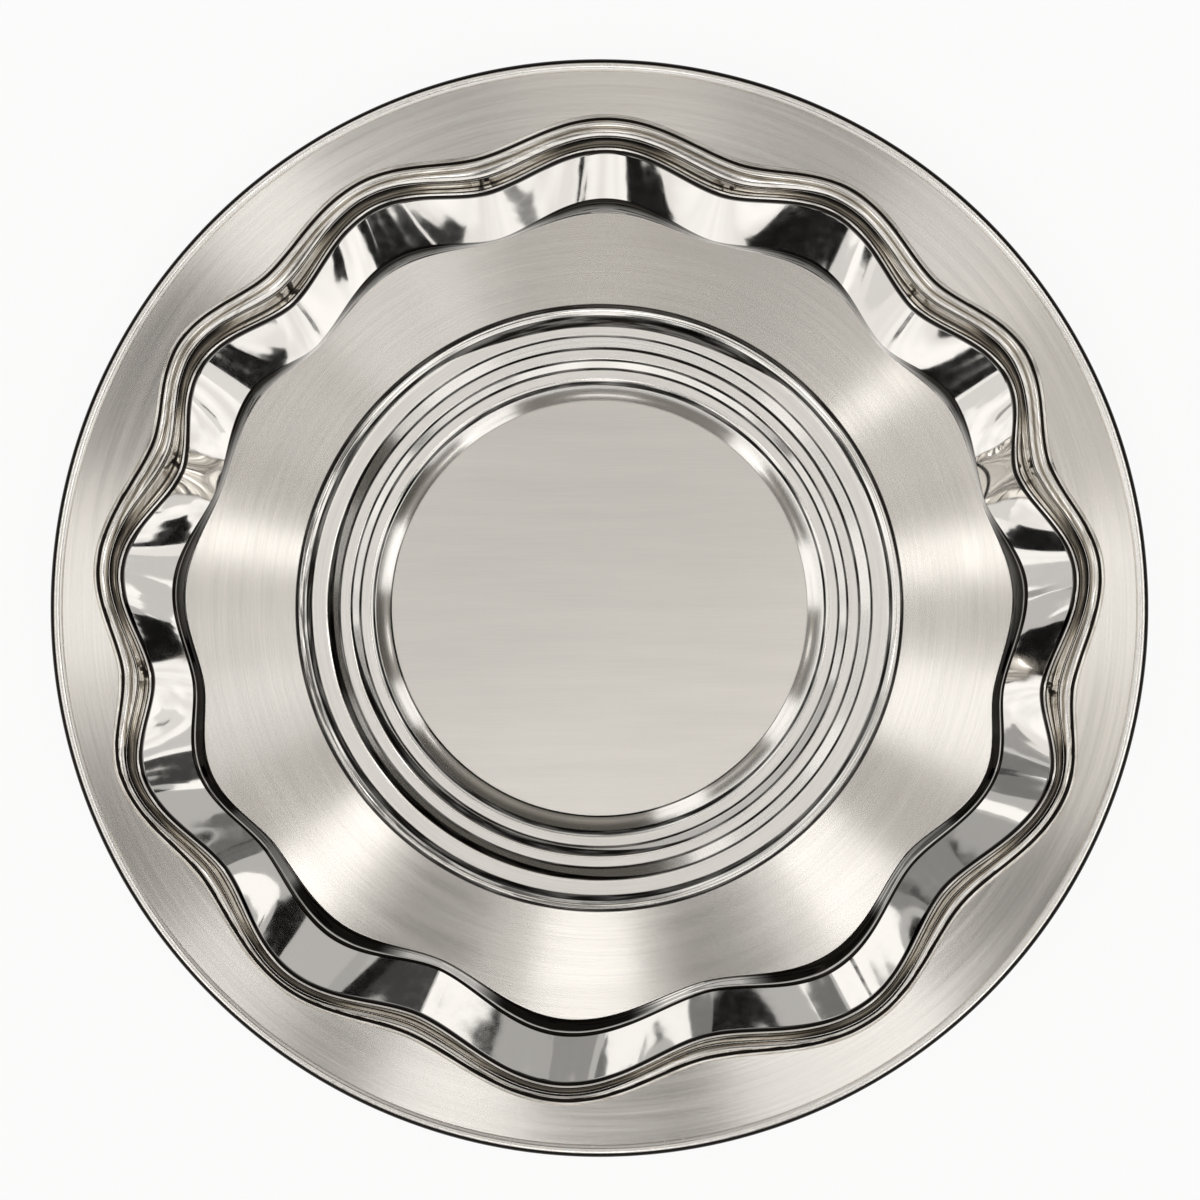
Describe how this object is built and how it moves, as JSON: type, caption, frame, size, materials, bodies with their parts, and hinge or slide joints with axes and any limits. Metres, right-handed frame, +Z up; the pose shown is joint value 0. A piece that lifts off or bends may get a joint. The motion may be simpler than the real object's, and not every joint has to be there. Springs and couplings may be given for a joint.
{
  "type": "plate",
  "caption": "Round metal plate with a rolled rim, a scalloped reeded border, a fluted well and a stepped centre ring around a flat disc.",
  "frame": {"origin": "centre of the plate, on the face that it stands on", "axes": "+Z up, out of the eating side; +Y towards the top of the picture, +X to its right"},
  "size_m": [0.3, 0.3, 0.0225],
  "materials": {
    "shell_sheet": "brim and floor lathe-brushed to a satin, fluted wall and rim bead mirror-polished",
    "rim_core": "drawn wire, hidden in the rolled rim",
    "border_reed": "polished, darker in its grooves",
    "ring_metal": "polished risers between satin treads",
    "disc_face": "fine straight brushing along X"
  },
  "bodies": {
    "root": {"dish_shell": "shell_sheet", "rim_wire": "rim_core", "outer_reed": "border_reed", "inner_reed": "border_reed", "well_ring": "ring_metal", "centre_disc": "disc_face"}
  },
  "joints": []
}
